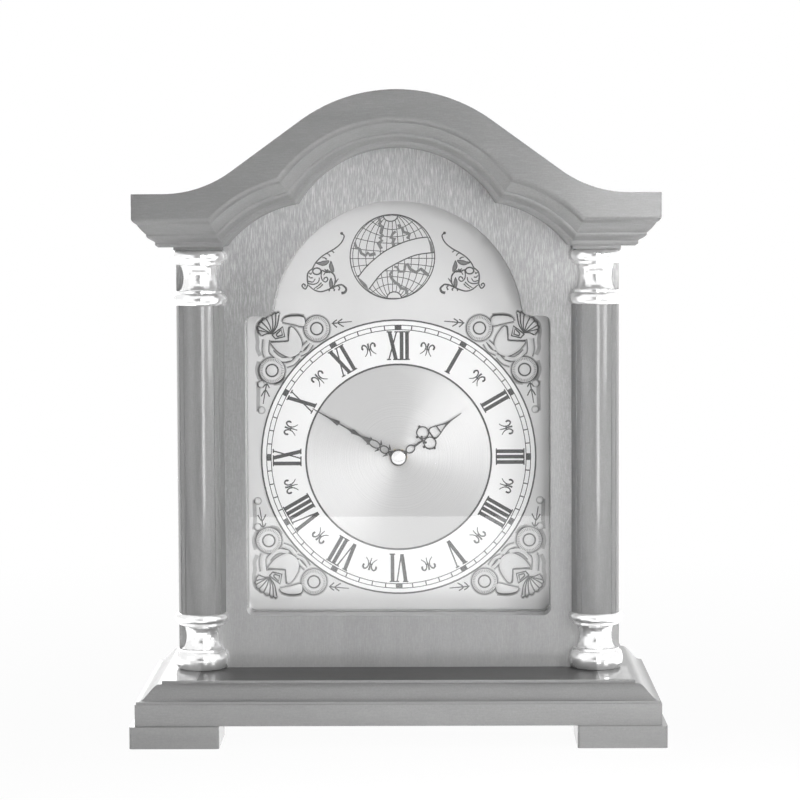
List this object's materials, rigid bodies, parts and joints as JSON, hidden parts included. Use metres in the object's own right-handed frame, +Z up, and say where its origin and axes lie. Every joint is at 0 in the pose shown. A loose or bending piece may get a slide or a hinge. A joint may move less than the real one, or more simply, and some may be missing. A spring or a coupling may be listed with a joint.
{
  "type": "mantel clock",
  "caption": "Free-standing mantel clock with a bell top over a cusped moulding, half round columns, an arched glazed dial, a quartz movement and a hinged back door.",
  "frame": {"origin": "centre of the overall bounding box, on the plane the feet stand on", "axes": "+Z up, -Y is the front with the dial, +Y the back with the door, X across the width"},
  "size_m": [0.3498, 0.1676, 0.4267],
  "materials": {
    "wood": "open-grained veneer under satin lacquer, mid tone",
    "inlay": "dark stained veneer, satin",
    "liner": "plain board, painted on its inner edge",
    "chrome": "polished plating",
    "dial_silver": "spun and printed silvered sheet",
    "steel": "bright zinc plate",
    "hand_black": "satin black paint on pressed aluminium sheet",
    "glass": "clear polished sheet",
    "brass": "turned, lightly tarnished",
    "housing": "moulded, fine texture",
    "gear_plastic": "moulded acetal",
    "black_plastic": "moulded, half gloss",
    "board": "laminate under solder resist",
    "rubber": "soft washer",
    "cell_jacket": "plain printed jacket",
    "cone": "pressed paper cone"
  },
  "bodies": {
    "case": {"foot_front_left": "wood", "foot_front_right": "wood", "foot_back_left": "wood", "foot_back_right": "wood", "foot_screws": "steel", "plinth": "wood", "base_moulding": "wood", "base_inlay": "inlay", "front_panel": "wood", "side_panel_left": "wood", "side_panel_right": "wood", "back_frame": "wood", "roof_board": "wood", "pediment_board": "wood", "pediment_moulding": "wood", "cornice_return_left": "wood", "cornice_return_right": "wood", "soffit": "wood", "column_base_left": "chrome", "column_base_right": "chrome", "column_shaft_left": "wood", "column_shaft_right": "wood", "column_capital_left": "chrome", "column_capital_right": "chrome", "column_tiles": "wood", "glass_pane": "glass", "spacer_frame": "liner", "dial_plate": "dial_silver", "chapter_disc": "dial_silver", "dial_screws": "steel", "movement_front_case": "housing", "movement_back_case": "housing", "movement_screws": "steel", "movement_washer": "rubber", "centre_bush": "brass", "bush_nut": "brass", "drive_module": "black_plastic", "circuit_board": "board", "battery_cells": "cell_jacket", "battery_contacts": "steel", "speaker_frame": "black_plastic", "speaker_cone": "cone", "hinge_leaves_case": "brass", "hinge_pins": "brass", "door_catch": "black_plastic"},
    "minute": {"minute_hand": "hand_black", "hand_nut": "steel", "centre_arbor": "brass", "centre_wheel": "gear_plastic"},
    "hour": {"hour_hand": "hand_black", "hour_wheel": "gear_plastic"},
    "motion": {"minute_wheel": "gear_plastic"},
    "third": {"third_wheel": "gear_plastic"},
    "setting": {"set_arbor": "gear_plastic", "set_knob": "black_plastic"},
    "door": {"back_door": "wood", "hinge_leaves_door": "brass", "strike_plate": "steel"},
    "chime_slider": {"chime_switch": "black_plastic"},
    "volume_slider": {"volume_switch": "black_plastic"}
  },
  "joints": [
    {"name": "minute_turn", "type": "hinge", "parent": "case", "child": "minute", "pos_m": [0, 0.02, 0.1806], "axis": [0, 1, 0], "continuous": true},
    {"name": "hour_turn", "type": "hinge", "parent": "case", "child": "hour", "pos_m": [0, 0.02, 0.1806], "axis": [0, 1, 0], "continuous": true},
    {"name": "motion_turn", "type": "hinge", "parent": "case", "child": "motion", "pos_m": [0.0144, 0.02, 0.1806], "axis": [0, 1, 0], "continuous": true},
    {"name": "third_turn", "type": "hinge", "parent": "case", "child": "third", "pos_m": [-0.0072, 0.02, 0.19307], "axis": [0, 1, 0], "continuous": true},
    {"name": "set_turn", "type": "hinge", "parent": "case", "child": "setting", "pos_m": [0.0216, 0.02, 0.16813], "axis": [0, 1, 0], "continuous": true},
    {"name": "back_door_swing", "type": "hinge", "parent": "case", "child": "door", "pos_m": [-0.09, 0.0823, 0.2073], "axis": [0, 0, 1], "range_deg": [0, 110]},
    {"name": "chime_slide", "type": "slide", "parent": "case", "child": "chime_slider", "axis": [1, 0, 0], "range_m": [-0.004, 0.004]},
    {"name": "volume_slide", "type": "slide", "parent": "case", "child": "volume_slider", "axis": [1, 0, 0], "range_m": [-0.004, 0.004]}
  ],
  "couplings": [
    {"joint": "hour_turn", "follows": "minute_turn", "ratio": 0.083333},
    {"joint": "motion_turn", "follows": "minute_turn", "ratio": -0.33333},
    {"joint": "third_turn", "follows": "minute_turn", "ratio": -8},
    {"joint": "set_turn", "follows": "minute_turn", "ratio": 1}
  ]
}
